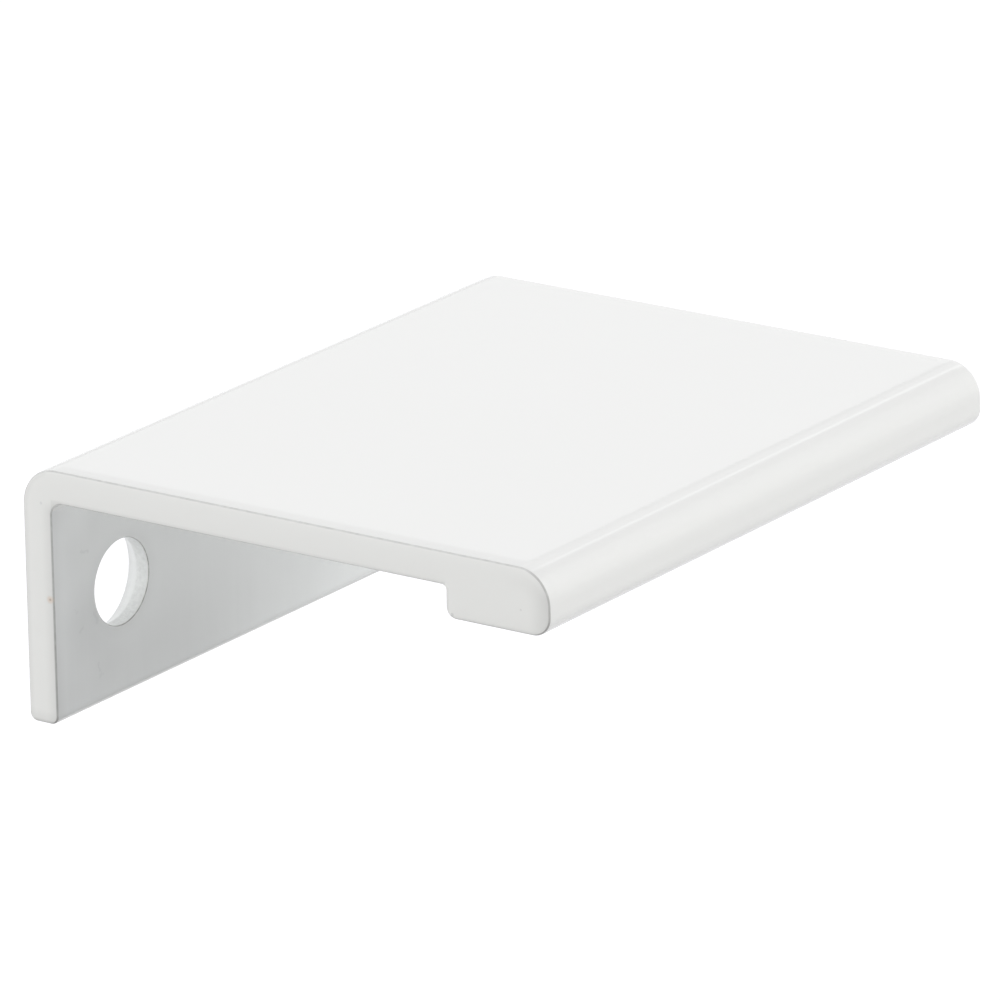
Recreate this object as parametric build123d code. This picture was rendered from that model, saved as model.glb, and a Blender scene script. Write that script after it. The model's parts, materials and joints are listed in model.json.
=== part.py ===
from build123d import *
import os

# Edge pull for a drawer or door front: one length of extruded L-section with a grip lip under its
# front edge, sawn square, deburred, and drilled and countersunk for two screws. Sizes in millimetres.
# The origin lies midway between the two screw holes, on the face of the flange that seats on the
# front. +X runs along the pull, -Y towards its nose and +Z up.

# Overall sizes
length = 45.0
depth = 36.5  # from the back of the flange to the nose
height = 15.5  # from the foot of the flange to the top of the plate

# Walls of the section
plate_thickness = 2.0
flange_thickness = 2.0

# Grip lip
lip_depth = 7.0  # from the nose to the back of the lip
lip_drop = 1.9  # below the underside of the plate

# Corner radii of the section
back_radius = 2.3  # outside of the corner between plate and flange
inner_radius = 0.8  # inside of that corner
nose_top_radius = 2.1
nose_bottom_radius = 1.2
lip_edge_radius = 0.65
lip_root_radius = 0.3
foot_radius = 0.5

# Sawn ends
end_edge_radius = 0.15

# Screw holes, countersunk from the back of the flange
hole_count = 2
hole_spacing = 32.0
hole_diameter = 5.2
hole_height = 6.9  # above the foot of the flange
countersink_diameter = 6.6
countersink_angle = 65.0

# A rounded corner takes no more than this share of the wall that it rounds
corner_share = 0.45
nose_top_share = 0.6
nose_bottom_share = 0.35

# Planes of the section: y towards the back, z up
seat = 0.0
flange_back = seat + flange_thickness
nose = flange_back - depth
lip_back = nose + lip_depth
foot = -hole_height
plate_top = foot + height
plate_under = plate_top - plate_thickness
lip_bottom = plate_under - lip_drop
nose_height = plate_top - lip_bottom


def section_corners():
    """Corners of the section as (y, z, radius), once round it from the back corner."""
    foot_round = min(foot_radius, corner_share * flange_thickness)
    return [
        (flange_back, plate_top, back_radius),
        (nose, plate_top, min(nose_top_radius, nose_top_share * nose_height)),
        (nose, lip_bottom, min(nose_bottom_radius, nose_bottom_share * nose_height)),
        (lip_back, lip_bottom, min(lip_edge_radius, corner_share * lip_drop)),
        (lip_back, plate_under, min(lip_root_radius, corner_share * lip_drop)),
        (seat, plate_under, inner_radius),
        (seat, foot, foot_round),
        (flange_back, foot, foot_round),
    ]


def edge_pull():
    """The extrusion with its ends deburred and its screw holes cut."""
    corners = section_corners()
    with BuildPart() as pull:
        with BuildSketch(Plane.YZ):
            with BuildLine():
                points = [(y, z) for y, z, _ in corners]
                FilletPolyline(*points, radius=[radius for _, _, radius in corners], close=True)
            make_face()
        extrude(amount=length / 2, both=True)

        sawn_ends = pull.faces().filter_by(Axis.X)
        fillet(sawn_ends.edges(), end_edge_radius)

        with Locations(Plane(origin=(0, flange_back, 0), x_dir=(1, 0, 0), z_dir=(0, 1, 0))):
            with GridLocations(hole_spacing, 0, hole_count, 1):
                CounterSinkHole(
                    radius=hole_diameter / 2,
                    counter_sink_radius=countersink_diameter / 2,
                    depth=2 * flange_thickness,
                    counter_sink_angle=countersink_angle,
                )
    return pull.part


os.makedirs("parts", exist_ok=True)
export_step(edge_pull(), "parts/edge_pull.step")
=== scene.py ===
"""A white-coated edge pull: the extruded section with eased ends, drilled and countersunk screw holes."""
import json
import math

import bmesh
import bpy
from mathutils import Matrix, Vector


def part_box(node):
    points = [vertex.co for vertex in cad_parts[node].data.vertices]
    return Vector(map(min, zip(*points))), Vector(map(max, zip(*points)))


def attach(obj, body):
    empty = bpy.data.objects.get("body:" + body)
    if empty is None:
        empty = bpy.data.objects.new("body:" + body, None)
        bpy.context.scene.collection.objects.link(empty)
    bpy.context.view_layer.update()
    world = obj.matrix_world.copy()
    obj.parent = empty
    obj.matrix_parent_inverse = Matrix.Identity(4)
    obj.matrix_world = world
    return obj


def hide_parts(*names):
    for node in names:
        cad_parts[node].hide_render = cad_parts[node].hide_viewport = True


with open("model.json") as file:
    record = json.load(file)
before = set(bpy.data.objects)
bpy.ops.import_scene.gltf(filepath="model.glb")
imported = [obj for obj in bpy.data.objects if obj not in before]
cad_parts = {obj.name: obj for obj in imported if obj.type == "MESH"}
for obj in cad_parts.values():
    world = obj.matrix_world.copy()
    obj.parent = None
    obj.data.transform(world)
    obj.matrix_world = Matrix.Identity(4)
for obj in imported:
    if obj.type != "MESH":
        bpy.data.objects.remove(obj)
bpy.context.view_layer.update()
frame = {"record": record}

MM = 0.001

# Places read from the frame
low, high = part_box("edge_pull")
half_length = high.x
seat = 0.0
flange_back = high.y
nose = low.y
foot = low.z
plate_top = high.z
screw_holes = next(m for m in frame["record"]["mounts"] if m["name"] == "screw_holes")["dims"]
hole_place = screw_holes["spacing_x_mm"] * MM / 2
hole_radius = screw_holes["hole_r_mm"] * MM

# Section
PLATE_THICKNESS = 2.0 * MM
LIP_DEPTH = 7.0 * MM
LIP_DROP = 1.9 * MM
BACK_RADIUS = 2.3 * MM
NOSE_RADIUS = 2.1 * MM
plate_under = plate_top - PLATE_THICKNESS
lip_back = nose + LIP_DEPTH
lip_bottom = plate_under - LIP_DROP
SECTION_CORNERS = [
    # y, z, radius, facets, and the way inwards: y, z, and whether the corner is an inner one
    (flange_back, plate_top, BACK_RADIUS, 20, -1, -1, False),
    (nose, plate_top, NOSE_RADIUS, 20, 1, -1, False),
    (nose, lip_bottom, 1.2 * MM, 16, 1, 1, False),
    (lip_back, lip_bottom, 0.65 * MM, 10, -1, 1, False),
    (lip_back, plate_under, 0.3 * MM, 8, -1, 1, True),
    (seat, plate_under, 0.8 * MM, 10, 1, 1, True),
    (seat, foot, 0.5 * MM, 8, 1, 1, False),
    (flange_back, foot, 0.5 * MM, 8, -1, 1, False),
]

# Buffed ends: a narrow slope along the top, which starts with a soft run-out
BUFFED_WIDTH = 1.2 * MM
BUFFED_RUN_OUT = 0.4 * MM
BUFFED_START = 0.3 * MM
BUFFED_SLOPE = 0.036
BUFFED_STEPS = 9

# Sawn faces: the coat eases them towards a small rounded arris
END_EASE_WIDTH = 0.9 * MM
END_EASE_START = 0.24 * MM
END_EASE_STEPS = 5
END_EASE_DEPTH = 0.05 * MM
SMALLEST_RADIUS = 0.04 * MM
ARRIS_RADIUS = 0.12 * MM
ARRIS_FACETS = 4

# Screw holes
HOLE_FACETS = 96
HOLE_PATCH = 4.2 * MM
HOLE_MARGIN = 0.3 * MM
LAND_DEPTH = 0.9 * MM
COUNTERSINK_RADIUS = 3.3 * MM
RIM_ROUND = 0.06 * MM
RIM_FACETS = 4

# Places closer than this are one, the tolerance of a cut, and the smallest area of a flat face
SAME_PLACE = 1e-7
CUT_TOLERANCE = 1e-8
SMALLEST_FLAT = 2.0 * MM * MM


def edges_at(shape, x):
    return [e for e in shape.edges if all(abs(v.co.x - x) < SAME_PLACE for v in e.verts)]


def section_outline(shape, x, inset=0.0):
    """The closed outline of the section at x, drawn in by the inset, as edges with rounded corners."""
    corners = []
    for y, z, _, _, in_y, in_z, _ in SECTION_CORNERS:
        corners.append(shape.verts.new((x, y + inset * in_y, z + inset * in_z)))
    shape.faces.new(corners)
    for vert, (_, _, radius, facets, _, _, inner) in zip(corners, SECTION_CORNERS):
        rounded = max(radius + inset if inner else radius - inset, SMALLEST_RADIUS)
        bmesh.ops.bevel(shape, geom=[vert], offset=rounded, offset_type="OFFSET", segments=facets,
                        profile=0.5, affect="VERTICES", material=-1)
    edges = edges_at(shape, x)
    drawn = [f for f in shape.faces if all(e in edges for e in f.edges)]
    bmesh.ops.delete(shape, geom=drawn, context="FACES_ONLY")
    return edges


def end_distances():
    """Stations along one end, as distances from the sawn face."""
    span = BUFFED_WIDTH - BUFFED_START
    return [END_EASE_DEPTH] + [BUFFED_START + span * step / BUFFED_STEPS for step in range(BUFFED_STEPS + 1)]


def extrude_section(shape):
    """Draws the outline along the pull through the stations of both ends."""
    distances = end_distances()
    stations = [-half_length + d for d in distances] + [half_length - d for d in reversed(distances)]
    ring = section_outline(shape, stations[0])
    for station in stations[1:]:
        grown = bmesh.ops.extrude_edge_only(shape, edges=ring)["geom"]
        ring = [g for g in grown if isinstance(g, bmesh.types.BMEdge)]
        for vert in [g for g in grown if isinstance(g, bmesh.types.BMVert)]:
            vert.co.x = station
    bmesh.ops.recalc_face_normals(shape, faces=shape.faces[:])


def buff_ends(shape):
    """Lets the upward faces fall away a little towards each end."""
    shape.normal_update()
    for vert in shape.verts:
        out = Vector((0, vert.normal.y, vert.normal.z)).normalized()
        past = BUFFED_WIDTH - (half_length - abs(vert.co.x))
        if past > 0 and out.z > 0:
            run_out = min(past, BUFFED_RUN_OUT)
            fall = run_out ** 2 / (2 * BUFFED_RUN_OUT) + past - run_out
            vert.co -= out * BUFFED_SLOPE * out.z * fall


def mark_crest(bevelled, arris_crest):
    """Marks the crest of a rounded edge, where the coat is thin and painted edge shade lies."""
    rounded = set(bevelled["faces"])
    for vert in {v for f in rounded for v in f.verts}:
        vert[arris_crest] = 1.0 if all(f in rounded for f in vert.link_faces) else 0.0


def close_ends(shape, arris_crest):
    """Closes the two sawn ends with rings that ease towards the rim, and rounds the arris."""
    for side in (-1, 1):
        arris = edges_at(shape, side * (half_length - END_EASE_DEPTH))
        outer = arris
        for step in range(END_EASE_STEPS + 1):
            inset = END_EASE_START + (END_EASE_WIDTH - END_EASE_START) * step / END_EASE_STEPS
            fall = END_EASE_DEPTH * (1 - inset / END_EASE_WIDTH) ** 2
            inner = section_outline(shape, side * (half_length - fall), inset)
            bmesh.ops.bridge_loops(shape, edges=outer + inner)
            outer = inner
        bmesh.ops.contextual_create(shape, geom=outer)
        bmesh.ops.recalc_face_normals(shape, faces=shape.faces[:])
        bevelled = bmesh.ops.bevel(shape, geom=arris, offset=ARRIS_RADIUS, offset_type="OFFSET",
                                   segments=ARRIS_FACETS, profile=0.5, affect="EDGES", material=-1)
        mark_crest(bevelled, arris_crest)


def flat_face_patch(shape, y, x):
    """The square of the flange's flat face at y round the hole at x, cut free of its neighbours."""
    at_y = [f for f in shape.faces if all(abs(v.co.y - y) < SAME_PLACE for v in f.verts)]
    flat = [f for f in at_y if f.calc_area() > SMALLEST_FLAT]
    for axis, middle in (("x", x), ("z", 0.0)):
        for side in (-1, 1):
            place = Vector()
            setattr(place, axis, middle + side * HOLE_PATCH)
            normal = Vector()
            setattr(normal, axis, 1.0)
            verts = {v for f in flat for v in f.verts}
            edges = {e for f in flat for e in f.edges}
            cut = bmesh.ops.bisect_plane(shape, geom=[*verts, *edges, *flat], plane_co=place,
                                         plane_no=normal, dist=CUT_TOLERANCE)
            flat = [g for g in cut["geom"] if isinstance(g, bmesh.types.BMFace)]
    centre = Vector((x, y, 0))
    return min(flat, key=lambda f: (f.calc_center_median() - centre).length)


def open_patch(shape, patch):
    """Deletes the patch and returns its border, split to as many edges as a hole has."""
    border = patch.edges[:]
    bmesh.ops.delete(shape, geom=[patch], context="FACES_ONLY")
    split = bmesh.ops.subdivide_edges(shape, edges=border, cuts=HOLE_FACETS // 4 - 1)
    return [g for g in split["geom_inner"] + split["geom_split"] if isinstance(g, bmesh.types.BMEdge)]


def drill(shape, x, arris_crest):
    """One screw hole: a straight land from the seat face, then a countersink out to the back."""
    seat_border = open_patch(shape, flat_face_patch(shape, seat, x))
    back_border = open_patch(shape, flat_face_patch(shape, flange_back, x))
    steps = [(hole_radius + HOLE_MARGIN, seat), (hole_radius, seat), (hole_radius, seat + LAND_DEPTH),
             (COUNTERSINK_RADIUS, flange_back), (COUNTERSINK_RADIUS + HOLE_MARGIN, flange_back)]
    radius, y = steps[0]
    facing = Matrix.Rotation(math.pi / 2, 4, "X") @ Matrix.Rotation(math.pi / 4, 4, "Z")
    circle = bmesh.ops.create_circle(shape, cap_ends=False, segments=HOLE_FACETS, radius=radius,
                                     matrix=Matrix.Translation((x, y, 0)) @ facing)
    rings = [list({e for v in circle["verts"] for e in v.link_edges})]
    for next_radius, next_y in steps[1:]:
        grown = bmesh.ops.extrude_edge_only(shape, edges=rings[-1])["geom"]
        verts = [g for g in grown if isinstance(g, bmesh.types.BMVert)]
        size = next_radius / radius
        bmesh.ops.scale(shape, verts=verts, vec=(size, 1, size), space=Matrix.Translation((-x, 0, 0)))
        bmesh.ops.translate(shape, verts=verts, vec=(0, next_y - y, 0))
        rings.append([g for g in grown if isinstance(g, bmesh.types.BMEdge)])
        radius, y = next_radius, next_y
    bmesh.ops.bridge_loops(shape, edges=seat_border + rings[0])
    bmesh.ops.bridge_loops(shape, edges=rings[-1] + back_border)
    bmesh.ops.recalc_face_normals(shape, faces=shape.faces[:])
    seat_rim, land_end, back_rim = rings[1:4]
    for ring in (seat_rim, land_end, back_rim):
        bevelled = bmesh.ops.bevel(shape, geom=ring, offset=RIM_ROUND, offset_type="OFFSET",
                                   segments=RIM_FACETS, profile=0.5, affect="EDGES", material=-1)
        if ring is not land_end:
            mark_crest(bevelled, arris_crest)


def make_pull():
    """The pull as one closed mesh."""
    shape = bmesh.new()
    arris_crest = shape.verts.layers.float.new("arris_crest")
    extrude_section(shape)
    buff_ends(shape)
    close_ends(shape, arris_crest)
    for x in (-hole_place, hole_place):
        drill(shape, x, arris_crest)
    bmesh.ops.recalc_face_normals(shape, faces=shape.faces[:])
    for face in shape.faces:
        face.smooth = True
    mesh = bpy.data.meshes.new("white_edge_pull")
    shape.to_mesh(mesh)
    shape.free()
    pull = bpy.data.objects.new("white_edge_pull", mesh)
    bpy.context.scene.collection.objects.link(pull)
    soft = pull.modifiers.new("flat faces stay flat", "WEIGHTED_NORMAL")
    soft.mode = "FACE_AREA"
    soft.weight = 50
    return pull


class Socket:
    """One output of a shader node. Arithmetic on it adds Math nodes."""

    def __init__(self, graph, output):
        self.graph = graph
        self.output = output

    def math(self, operation, *operands):
        return self.graph.node("ShaderNodeMath", {"operation": operation}, dict(enumerate(operands)))

    def __add__(self, other):
        return self.math("ADD", self, other)

    __radd__ = __add__

    def __sub__(self, other):
        return self.math("SUBTRACT", self, other)

    def __rsub__(self, other):
        return self.math("SUBTRACT", other, self)

    def __mul__(self, other):
        return self.math("MULTIPLY", self, other)

    __rmul__ = __mul__

    def __truediv__(self, other):
        return self.math("DIVIDE", self, other)

    def __abs__(self):
        return self.math("ABSOLUTE", self)

    def at_most(self, other):
        return self.math("MINIMUM", self, other)

    def at_least(self, other):
        return self.math("MAXIMUM", self, other)

    def root(self):
        return self.math("SQRT", self)

    def rise(self, start, end):
        """0 before start, 1 past end, smooth between. It falls where end is the smaller."""
        return self.graph.node("ShaderNodeMapRange", {"interpolation_type": "SMOOTHSTEP"},
                               {"Value": self, "From Min": start, "From Max": end})

    def within(self, start, full, still_full, end):
        """Rises from start to full, and falls again from still_full to end."""
        return self.rise(start, full) * self.rise(end, still_full)


def reach(one, other):
    """The length that two sides at right angles span."""
    return (one * one + other * other).root()


class Graph:
    """The node tree of a material or of the world."""

    def __init__(self, tree):
        self.tree = tree
        tree.nodes.clear()

    def node(self, kind, settings=None, sockets=None, output=0):
        """Adds a node with these settings, fills its sockets with values or links, and gives one output."""
        made = self.tree.nodes.new(kind)
        for name, value in (settings or {}).items():
            setattr(made, name, value)
        for name, value in (sockets or {}).items():
            if isinstance(value, Socket):
                self.tree.links.new(value.output, made.inputs[name])
            else:
                made.inputs[name].default_value = value
        return Socket(self, made.outputs[output]) if made.outputs else made

    def axes(self, vector):
        """The three parts of a vector."""
        return [self.node("ShaderNodeSeparateXYZ", sockets={0: vector}, output=axis) for axis in "XYZ"]

    def grey(self, level, blue=None):
        """A colour with one level in red and green, and in blue unless blue has its own."""
        return self.node("ShaderNodeCombineXYZ", sockets={0: level, 1: level, 2: blue or level})

    def noise(self, vector, scale, detail=1.0, roughness=0.5):
        """Soft noise about 0, between about -0.5 and 0.5."""
        sockets = {"Vector": vector, "Scale": scale, "Detail": detail, "Roughness": roughness}
        return self.node("ShaderNodeTexNoise", sockets=sockets) - 0.5

    def stretched(self, vector, by):
        return self.node("ShaderNodeVectorMath", {"operation": "MULTIPLY"}, {0: vector, 1: by})

    def scaled(self, vector, by):
        return self.node("ShaderNodeVectorMath", {"operation": "SCALE"}, {0: vector, "Scale": by})

    def ramp(self, value, levels):
        """Runs through evenly spaced levels as the value goes from 0 to 1."""
        most = max(levels)
        ramp = self.node("ShaderNodeValToRGB", sockets={0: value})
        stops = ramp.output.node.color_ramp.elements
        for place, level in enumerate(levels):
            share = place / (len(levels) - 1)
            stop = stops[0] if place == 0 else stops[-1] if share == 1 else stops.new(share)
            stop.color = (level / most, level / most, level / most, 1.0)
        return ramp * most

    def mixed(self, mask, one, other):
        return self.node("ShaderNodeMix", {"data_type": "RGBA"}, {0: mask, 6: one, 7: other}, output=2)


# Coat, colours in linear light
COAT = (0.861, 0.864, 0.830, 1.0)
# A greener copy of the coat for the seat face and holes: the painted tint of the light in the plate's shade
SEAT_COAT_PAINTED_SHADE_TINT = (0.832, 0.849, 0.831, 1.0)
# The grey of the arrises: coat worn thin there, darkened further as painted edge shade
THIN_COAT_AND_EDGE_SHADE = (0.37, 0.365, 0.35, 1.0)
SCUFF_COLOUR = (0.45, 0.46, 0.46, 1.0)

# Darker and lighter places on the seat face: x, z in millimetres, radius, how much lighter
SEAT_CLOUDS = [
    (-19.3, -1.3, 3.4, -0.10),
    (-17.6, -4.0, 2.5, -0.04),
    (-20.2, 5.2, 2.2, 0.06),
]

# Marks on the seat face: x, z of both ends in millimetres, half width, depth of the mark
SCUFFS = [
    (-19.75, 2.92, -19.1, 2.72, 0.06, 0.5),
    (-20.1, -1.92, -19.8, -1.7, 0.07, 0.6),
    (-18.45, -4.3, -18.25, -5.1, 0.06, 0.5),
    (-18.2, -5.1, -17.9, -5.0, 0.05, 0.4),
    (-20.6, -0.4, -20.3, -0.7, 0.04, 0.3),
    (-18.7, -1.15, -18.4, -1.7, 0.10, 0.5),
]

# Specks in the coat of the near end: y, z in millimetres, radius, colour
SPECKS = [
    (0.25, 0.72, 0.24, (0.72, 0.55, 0.41, 1.0)),
    (0.25, 0.72, 0.08, (0.30, 0.20, 0.12, 1.0)),
    (0.67, 6.49, 0.10, (0.66, 0.66, 0.66, 1.0)),
    (-27.93, 4.95, 0.12, (0.52, 0.53, 0.52, 1.0)),
    (-32.59, 6.09, 0.07, (0.62, 0.62, 0.60, 1.0)),
]

# How much the coat's colour varies from place to place, and how much painted light and shade it carries, as
# shares of it
CLOUDY = 0.012
SEAT_CLOUDY = 0.06
SEAT_STREAKED = 0.03
SEAT_FINELY_STREAKED = 0.012
# Painted light and shade on the seat face: lighter to the right and high up, darker low, by the end and round
# the holes
SEAT_PAINTED_LIGHT_TO_RIGHT = 0.19
SEAT_PAINTED_LIGHT_HIGH = 0.04
SEAT_PAINTED_SHADE_LOW = 0.125
SEAT_PAINTED_SHADE_BY_END = 0.07
SEAT_PAINTED_SHADE_BY_HOLE = 0.04
# Painted shade on the sawn ends: by the nose, in the corner under the plate, and along the back, lower and
# lip edges
END_PAINTED_SHADE_BY_NOSE = 0.17
END_PAINTED_SHADE_BY_SEAT = 0.09
END_PAINTED_SHADE_BY_BACK = 0.08
END_PAINTED_SHADE_BELOW = 0.08
END_PAINTED_SHADE_AT_FOOT = 0.07
END_PAINTED_SHADE_BY_LIP_BACK = 0.09
# Painted shade along the bottom of the foot
FOOT_PAINTED_SHADE = 0.16
LAND_GRAINY = 0.40
LAND_LIGHTER = 0.015
# Painted shade in the countersinks, deepening towards their back rims
COUNTERSINK_PAINTED_SHADE = 0.015
COUNTERSINK_PAINTED_SHADE_BY_RIM = 0.11

# How much grey the arrises show, from coat worn thin and from painted edge shade: along every arris, how much
# more by some of them, and how unevenly
EDGE_THIN_AND_SHADE = 0.36
INNER_EDGE_THIN_AND_SHADE = 0.26
INNER_EDGE_THIN_AND_SHADE_LOW = 0.16
NOSE_EDGE_THIN_AND_SHADE = 0.22
FOOT_EDGE_THIN_AND_SHADE = 0.25
BACK_EDGE_THIN_AND_SHADE = 0.45
LIP_EDGE_THIN_AND_SHADE = 0.2
HOLE_EDGE_THIN_AND_SHADE = 0.10
EDGE_RAGGED = 0.5
HOLE_EDGE_RAGGED = 1.5

# Marks: how far scuffs wander in millimetres, and how much of its colour a mark shows
SCUFF_WANDER = 0.4
SCUFF_STRENGTH = 0.28
SCUFF_UNEVEN = 0.4
SPECK_STRENGTH = 0.45

# Gloss, and the heights of the surface in thousandths of a millimetre
ROUGHNESS = 0.08
UNEVEN_ROUGHNESS = 0.03
SAWN_ROUGHNESS = 0.24
HOLE_ROUGHNESS = 0.25
THIN_ROUGHNESS = 0.15
HEIGHT_UNIT = 1e-6
PEEL_HEIGHT = 1.6
SWELL_HEIGHT = 7.0
SAWN_HEIGHT = 3.0
GRAIN_HEIGHT = 60.0
SCUFF_DEPTH = 12.0

# Places of the section in the coat's millimetres
END = half_length / MM
HOLE = hole_place / MM
TOP = plate_top / MM
UNDER = plate_under / MM
LIP_BOTTOM = lip_bottom / MM
FOOT = foot / MM
NOSE = nose / MM
LIP_BACK = lip_back / MM
BACK = flange_back / MM
LAND = LAND_DEPTH / MM
NOSE_ROUND = NOSE_RADIUS / MM
BACK_ROUND = BACK_RADIUS / MM


class PullPlace:
    """Where a point lies on the pull, in millimetres, with masks from 0 to 1 for its faces."""

    def __init__(self, graph):
        self.point = graph.scaled(graph.node("ShaderNodeTexCoord", output="Object"), 1 / MM)
        self.x, self.y, self.z = graph.axes(self.point)
        self.from_end = END - abs(self.x)
        self.from_axis = reach(abs(self.x) - HOLE, self.z)
        self.sawn = self.from_end.rise(0.09, 0.06)
        self.on_seat = self.y.within(-0.06, -0.03, 0.03, 0.06) * self.z.rise(UNDER, UNDER - 0.6)
        self.in_hole = self.from_axis.rise(3.55, 3.45) * self.y.within(0.06, 0.14, 2.0, 2.1)
        self.on_land = self.in_hole * self.y.rise(LAND + 0.04, LAND - 0.04)
        self.in_lip = self.y.rise(LIP_BACK + 0.02, LIP_BACK - 0.02)
        self.in_flange = self.y.rise(-0.02, 0.02)


def seat_tone_and_painted_light(graph, at):
    """How much lighter the seat face is: cloudy, with faint drawn streaks down it, and with painted light and
    shade.
    """
    streaks = graph.noise(graph.stretched(at.point, (0.9, 0.9, 0.05)), 1.0, 3.0)
    fine_streaks = graph.noise(graph.stretched(at.point, (4.0, 4.0, 0.12)), 1.0, 2.0)
    lighter = graph.noise(at.point, 0.16, 2.0) * SEAT_CLOUDY
    lighter = lighter + streaks * SEAT_STREAKED + fine_streaks * SEAT_FINELY_STREAKED
    # Painted light: the seat face is lighter to the right and high up
    right = at.x.rise(-12.0, 12.0)
    lighter = lighter + right * SEAT_PAINTED_LIGHT_TO_RIGHT + at.z.rise(1.0, 5.5) * SEAT_PAINTED_LIGHT_HIGH
    # Painted shade: the seat face is darker low down on its left
    lighter = lighter - at.z.rise(1.0, -6.0) * (1 - right) * SEAT_PAINTED_SHADE_LOW
    for cloud_x, cloud_z, radius, cloud_lighter in SEAT_CLOUDS:
        lighter = lighter + reach(at.x - cloud_x, at.z - cloud_z).rise(radius, 0.0) * cloud_lighter
    # Painted shade by the sawn end, and a painted shadow round the holes
    lighter = lighter - at.from_end.rise(1.0, 0.1) * SEAT_PAINTED_SHADE_BY_END
    lighter = lighter - at.from_axis.rise(3.5, 2.6) * SEAT_PAINTED_SHADE_BY_HOLE
    return at.on_seat * lighter


def inside_corner(past_side, past_top, radius):
    """How far in from a rounded top corner a point lies, by how far it is past the side and the top."""
    return radius - reach((past_side + radius).at_least(0.0), (past_top + radius).at_least(0.0))


def painted_end_shade(at):
    """How much painted shade darkens the sawn ends by the nose and along their edges."""
    from_nose = inside_corner(NOSE - at.y, at.z - TOP, NOSE_ROUND)
    from_back = inside_corner(at.y - BACK, at.z - TOP, BACK_ROUND)
    from_under = at.z - UNDER + (UNDER - LIP_BOTTOM) * at.in_lip + (UNDER - FOOT) * at.in_flange
    by_nose = from_nose.rise(1.6, -0.2) * at.y.rise(NOSE + 3.6, NOSE + 1.6) * at.z.rise(TOP - 0.3, TOP - 1.8)
    by_seat = at.y.within(-0.3, -0.2, 0.0, 0.8) * at.z.rise(UNDER + 0.2, UNDER - 0.6)
    by_back = from_back.rise(0.5, 0.08) * at.y.rise(0.0, 0.8)
    by_foot = from_under.rise(0.28, 0.10) + from_under.rise(0.9, 0.2)
    by_lip_back = at.in_lip * at.y.rise(LIP_BACK - 0.3, LIP_BACK - 0.1) * at.z.rise(UNDER, UNDER - 0.3)
    # Painted shade by the nose, under the plate by the seat, and along the back, lower, foot and lip edges
    darker = by_nose * END_PAINTED_SHADE_BY_NOSE + by_seat * END_PAINTED_SHADE_BY_SEAT + by_back * END_PAINTED_SHADE_BY_BACK
    darker = darker + from_under.rise(0.28, 0.10) * END_PAINTED_SHADE_BELOW
    darker = darker + at.in_flange * by_foot * END_PAINTED_SHADE_AT_FOOT + by_lip_back * END_PAINTED_SHADE_BY_LIP_BACK
    return at.sawn * darker


def hole_grain_and_painted_shade(at, grains):
    """How much lighter the holes are: grainy on the land, and darker in the countersink with painted shade
    towards its back rim.
    """
    # Painted shade in the countersink, deepest by its back rim
    sunk = COUNTERSINK_PAINTED_SHADE + COUNTERSINK_PAINTED_SHADE_BY_RIM * at.y.rise(1.2, 2.0)
    return at.on_land * (grains * LAND_GRAINY + LAND_LIGHTER) - (at.in_hole - at.on_land) * sunk


def thinned_and_edge_shaded(graph, at, ragged):
    """How much grey shows: coat worn thin plus painted edge shade along the arrises, and raggedly round the
    holes.
    """
    crest = graph.node("ShaderNodeAttribute", {"attribute_name": "arris_crest"}, output="Fac")
    by_hole = at.from_axis.rise(4.0, 3.6)
    by_seat = at.y.within(-0.5, -0.2, 0.2, 0.5) * at.z.rise(UNDER - 0.2, UNDER - 0.8)
    by_lip = at.y.rise(LIP_BACK + 0.2, LIP_BACK - 0.2) * at.z.rise(UNDER - 0.4, UNDER - 0.9)
    # Coat worn thin plus painted shade along the arrises, more by the seat, nose, foot, back, lip and holes
    thin_and_shaded = EDGE_THIN_AND_SHADE + by_seat * (INNER_EDGE_THIN_AND_SHADE + INNER_EDGE_THIN_AND_SHADE_LOW * at.z.rise(4.0, -4.0))
    thin_and_shaded = thin_and_shaded + NOSE_EDGE_THIN_AND_SHADE * at.y.rise(NOSE + 1.6, NOSE + 0.7)
    thin_and_shaded = thin_and_shaded + FOOT_EDGE_THIN_AND_SHADE * at.z.rise(FOOT + 0.7, FOOT + 0.2)
    thin_and_shaded = thin_and_shaded + BACK_EDGE_THIN_AND_SHADE * at.y.rise(BACK - 0.5, BACK - 0.2)
    thin_and_shaded = thin_and_shaded + LIP_EDGE_THIN_AND_SHADE * by_lip + HOLE_EDGE_THIN_AND_SHADE * by_hole
    thin_and_shaded = thin_and_shaded + ragged * (EDGE_RAGGED + HOLE_EDGE_RAGGED * by_hole)
    return (crest.rise(0.4, 1.0) * thin_and_shaded).at_least(0.0).at_most(1.0)


def scuffed(graph, at):
    """How deep the scuffs on the seat face are."""
    wander = graph.noise(at.point, 3.0, 2.0) * SCUFF_WANDER
    deepest = None
    for x0, z0, x1, z1, half_width, depth in SCUFFS:
        run = Vector((x1 - x0, z1 - z0))
        along = ((at.x - x0) * run.x + (at.z - z0) * run.y) / run.length_squared
        along = along.at_least(0.0).at_most(1.0)
        away = reach(at.x - x0 - along * run.x + wander, at.z - z0 - along * run.y + wander)
        mark = away.rise(half_width * 2, half_width * 0.5) * depth
        deepest = mark if deepest is None else deepest.at_least(mark)
    return deepest * at.on_seat


def with_specks(graph, at, colour):
    """The colour with the specks of the near end in it."""
    near_end = at.x.rise(0.2 - END, 0.1 - END)
    for speck_y, speck_z, radius, speck_colour in SPECKS:
        speck = reach(at.y - speck_y, at.z - speck_z).rise(radius * 1.3, radius * 0.4) * near_end
        colour = graph.mixed(speck * SPECK_STRENGTH, colour, speck_colour)
    return colour


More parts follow.
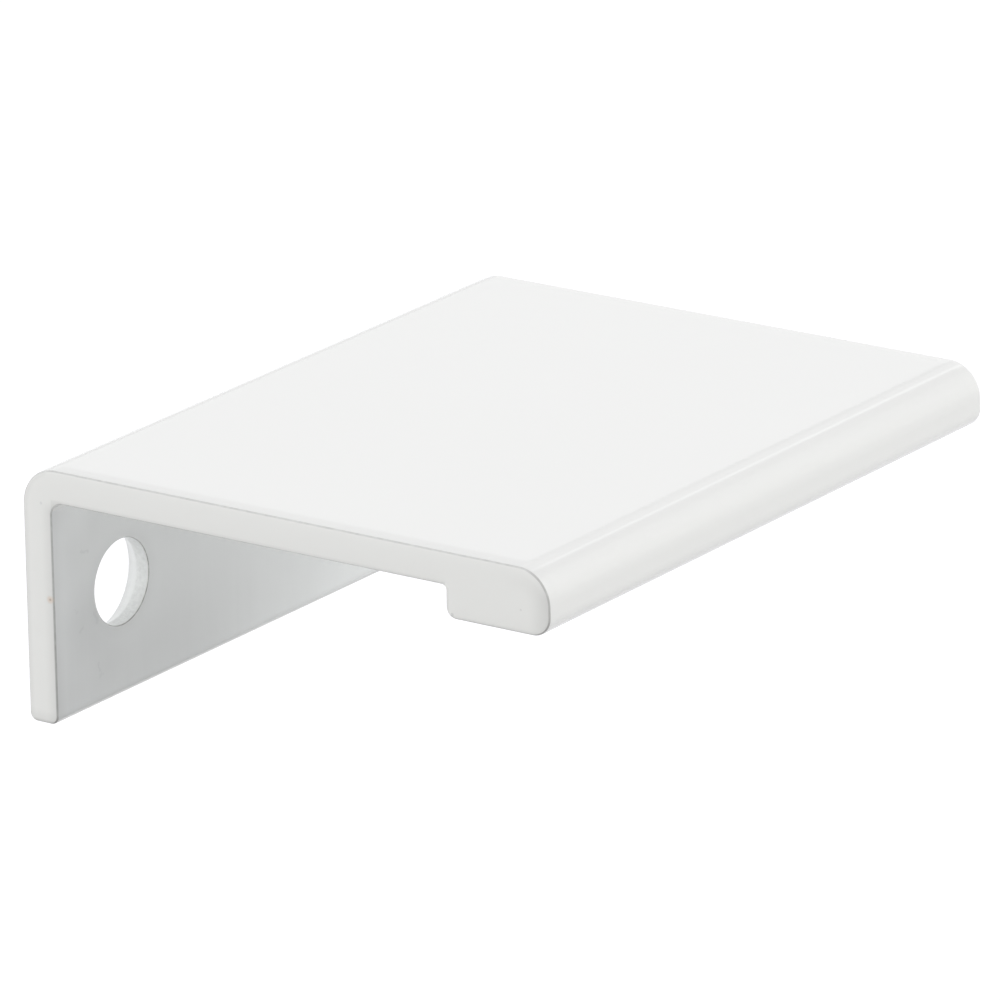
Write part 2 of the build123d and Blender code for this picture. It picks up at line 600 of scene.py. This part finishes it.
def white_coat():
    """Smooth white coat: glossy on the drawn faces, more satin on the sawn ends, thin along the arrises with
    painted edge shade, and painted light and shade on the seat, ends, foot and holes.
    """
    material = bpy.data.materials.new("white_coat")
    material.use_nodes = True
    graph = Graph(material.node_tree)
    at = PullPlace(graph)
    grains = graph.noise(at.point, 4.5, 3.0, 0.65)
    ragged = graph.noise(at.point, 2.2, 3.0, 0.6)
    thin_and_edge_shade = thinned_and_edge_shaded(graph, at, ragged)
    scuffs = scuffed(graph, at)

    # Colour, with painted light and shade on the seat, the ends, the holes and along the foot
    shade = 1 + graph.noise(at.point, 0.09, 2.0) * CLOUDY
    shade = shade + seat_tone_and_painted_light(graph, at) - painted_end_shade(at) + hole_grain_and_painted_shade(at, grains)
    # Painted shade along the bottom of the foot, off the sawn ends
    shade = shade - at.z.rise(FOOT + 0.7, FOOT + 0.1) * (1 - at.sawn) * FOOT_PAINTED_SHADE
    # Painted shade tint: the seat face and the holes take the greener copy of the coat
    coat_and_painted_tint = graph.mixed((at.on_seat + at.in_hole).at_most(1.0), COAT, SEAT_COAT_PAINTED_SHADE_TINT)
    colour = graph.mixed(thin_and_edge_shade, graph.scaled(coat_and_painted_tint, shade), THIN_COAT_AND_EDGE_SHADE)
    colour = graph.mixed(scuffs * (SCUFF_STRENGTH + ragged * SCUFF_UNEVEN), colour, SCUFF_COLOUR)
    colour = with_specks(graph, at, colour)

    # Gloss and surface
    roughness = ROUGHNESS + graph.noise(at.point, 0.5, 2.0) * UNEVEN_ROUGHNESS
    roughness = roughness + at.sawn * SAWN_ROUGHNESS + at.in_hole * HOLE_ROUGHNESS + thin_and_edge_shade * THIN_ROUGHNESS
    height = graph.noise(at.point, 0.55, 1.0) * PEEL_HEIGHT + graph.noise(at.point, 0.16, 0.0) * SWELL_HEIGHT
    height = height + at.sawn * graph.noise(at.point, 2.5, 2.0) * SAWN_HEIGHT
    height = height + at.in_hole * grains * GRAIN_HEIGHT - scuffs * SCUFF_DEPTH
    bump = {"Strength": 1.0, "Distance": HEIGHT_UNIT, "Height": height}
    surface = graph.node("ShaderNodeBump", sockets=bump)
    coat = {"Base Color": colour, "Roughness": roughness, "Normal": surface}
    shader = graph.node("ShaderNodeBsdfPrincipled", sockets=coat)
    graph.node("ShaderNodeOutputMaterial", sockets={"Surface": shader})
    return material


# Floor: its grey, a patch of painted shade in it, and the level that it is drawn at
FLOOR_SIZE = 2.0
FLOOR_DROP = 55.0 * MM
FLOOR_GREY = 0.88
FLOOR_DRAWN = 1.12
PAINTED_SHADE_ON_FLOOR = (-70.0 * MM, -60.0 * MM)
PAINTED_SHADE_REACH = 150.0 * MM
PAINTED_SHADE_CORE = 40.0 * MM
PAINTED_SHADE_DARKER = 0.7


def floor_material():
    """Matte floor that is drawn white, keeps the pull's soft shadow, carries a patch of painted shade, and is
    open from below.
    """
    material = bpy.data.materials.new("pale_floor")
    material.use_nodes = True
    graph = Graph(material.node_tree)
    camera = graph.node("ShaderNodeLightPath", output="Is Camera Ray")
    glossy = graph.node("ShaderNodeLightPath", output="Is Glossy Ray")
    through = graph.node("ShaderNodeLightPath", output="Is Transmission Ray")
    seen = (camera + glossy + through).at_most(1.0)
    x, y, _ = graph.axes(graph.node("ShaderNodeTexCoord", output="Object"))
    # Painted shade: a darker patch in the floor's grey, which darkens the light it throws back onto the pull
    painted_shade = reach(x - PAINTED_SHADE_ON_FLOOR[0], y - PAINTED_SHADE_ON_FLOOR[1]).rise(PAINTED_SHADE_REACH, PAINTED_SHADE_CORE)
    grey = FLOOR_GREY * (1 - PAINTED_SHADE_DARKER * painted_shade)
    matte = {"Base Color": graph.grey(grey), "Roughness": 1.0, "Specular IOR Level": 0.0}
    glow = {"Emission Color": graph.grey(FLOOR_DRAWN - grey), "Emission Strength": 1.0}
    unseen = graph.node("ShaderNodeBsdfPrincipled", sockets=matte)
    drawn = graph.node("ShaderNodeBsdfPrincipled", sockets={**matte, **glow})
    pale = graph.node("ShaderNodeMixShader", sockets={0: seen, 1: unseen, 2: drawn})
    below = graph.node("ShaderNodeNewGeometry", output="Backfacing")
    open_below = graph.node("ShaderNodeBsdfTransparent")
    surface = graph.node("ShaderNodeMixShader", sockets={0: below, 1: pale, 2: open_below})
    graph.node("ShaderNodeOutputMaterial", sockets={"Surface": surface})
    return material


def pale_floor():
    """White floor well below the pull."""
    shape = bmesh.new()
    bmesh.ops.create_grid(shape, x_segments=1, y_segments=1, size=FLOOR_SIZE)
    bmesh.ops.translate(shape, verts=shape.verts[:], vec=(0, 0, foot - FLOOR_DROP))
    mesh = bpy.data.meshes.new("floor")
    shape.to_mesh(mesh)
    shape.free()
    floor = bpy.data.objects.new("floor", mesh)
    bpy.context.scene.collection.objects.link(floor)
    mesh.materials.append(floor_material())


# Camera: aim, direction from the aim and lens, as fitted to the photograph's edges
AIM = Vector((0.0, -15.58, 3.198)) * MM
CAMERA_DISTANCE = 546.08 * MM
CAMERA_AZIMUTH = math.radians(-55.03)
CAMERA_ELEVATION = math.radians(18.265)
CAMERA_ROLL = math.radians(-0.966)
SENSOR_WIDTH = 36.0
LENS = 338.14
camera_side = Vector((math.sin(CAMERA_AZIMUTH) * math.cos(CAMERA_ELEVATION),
                      -math.cos(CAMERA_AZIMUTH) * math.cos(CAMERA_ELEVATION), math.sin(CAMERA_ELEVATION)))


def make_camera():
    """The camera at the photograph's viewing angle, unshifted."""
    data = bpy.data.cameras.new("camera")
    data.sensor_width = SENSOR_WIDTH
    data.lens = LENS
    camera = bpy.data.objects.new("camera", data)
    bpy.context.scene.collection.objects.link(camera)
    level = (-camera_side).to_track_quat("-Z", "Y").to_matrix().to_4x4()
    turn = level @ Matrix.Rotation(CAMERA_ROLL, 4, "Z")
    camera.matrix_world = Matrix.Translation(AIM + camera_side * CAMERA_DISTANCE) @ turn
    bpy.context.scene.camera = camera


# Studio dome: levels of its low and middle bands round the compass, from +X towards +Y, and overhead
LOW_BAND = (1.17, 1.12, 1.22, 1.60, 1.66, 1.12, 0.58, 1.40)
MIDDLE_BAND = (1.22, 1.20, 1.20, 1.20, 1.22, 1.36, 1.50, 1.26, 0.99, 0.52, 0.05, 0.60, 1.65, 2.70, 1.74, 1.22)
OVERHEAD = 0.745
MIDDLE_BLUER = 0.01
OVERHEAD_BLUER = 0.045

# Panels and gaps on the dome's +X side: how much lighter or darker they are
STRIP_LIGHTER = 0.7
WIDE_GAP_DARKER = 0.2
THIN_GAP_DARKER = 0.14
STEP_DARKER = 0.23
HORIZON_DARKER = 0.22


def far_panels(x, y, z):
    """How much lighter the dome is on its +X side, by how far a direction goes sideways and up."""
    sideways = y / x.at_least(0.05)
    strip = sideways.within(0.10, 0.13, 0.20, 0.23) * z.rise(0.45, 0.50) * STRIP_LIGHTER
    wide_gap = sideways.within(-0.32, -0.26, 0.06, 0.10) * z.rise(0.45, 0.50) * WIDE_GAP_DARKER
    thin_gap = sideways.within(0.40, 0.44, 0.52, 0.58) * z.rise(0.42, 0.45) * THIN_GAP_DARKER
    step = sideways.rise(0.35, 0.50) * z.within(0.340, 0.350, 0.42, 0.50) * STEP_DARKER
    horizon = sideways.rise(0.67, 0.77) * z.rise(0.24, 0.12) * HORIZON_DARKER
    return x.rise(0.05, 0.2) * (strip - wide_gap - thin_gap - step - horizon)


def studio_world():
    """White studio all round, with thin gaps between its panels at the far end."""
    world = bpy.data.worlds.new("studio")
    world.use_nodes = True
    graph = Graph(world.node_tree)
    x, y, z = graph.axes(graph.node("ShaderNodeTexCoord", output="Generated"))
    turn = y.math("ARCTAN2", y, x) / (2 * math.pi) + 1
    turn = turn.math("FRACT", turn)
    above_low = z.rise(0.2, 0.32)
    above_middle = z.rise(0.55, 0.75)
    low_level = graph.ramp(turn, (*LOW_BAND, LOW_BAND[0]))
    middle_level = graph.ramp(turn, (*MIDDLE_BAND, MIDDLE_BAND[0]))
    level = low_level * (1 - above_low) + middle_level * above_low * (1 - above_middle)
    level = level + OVERHEAD * above_middle
    level = level * (1 + far_panels(x, y, z))
    blue = level * (1 + MIDDLE_BLUER * above_low + OVERHEAD_BLUER * above_middle)
    light = graph.node("ShaderNodeBackground", sockets={"Color": graph.grey(level, blue)})
    graph.node("ShaderNodeOutputWorld", sockets={"Surface": light})
    bpy.context.scene.world = world


pull = make_pull()
pull.data.materials.append(white_coat())
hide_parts("edge_pull")
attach(pull, "root")
pale_floor()
make_camera()
studio_world()
bpy.context.scene.view_settings.view_transform = "Standard"
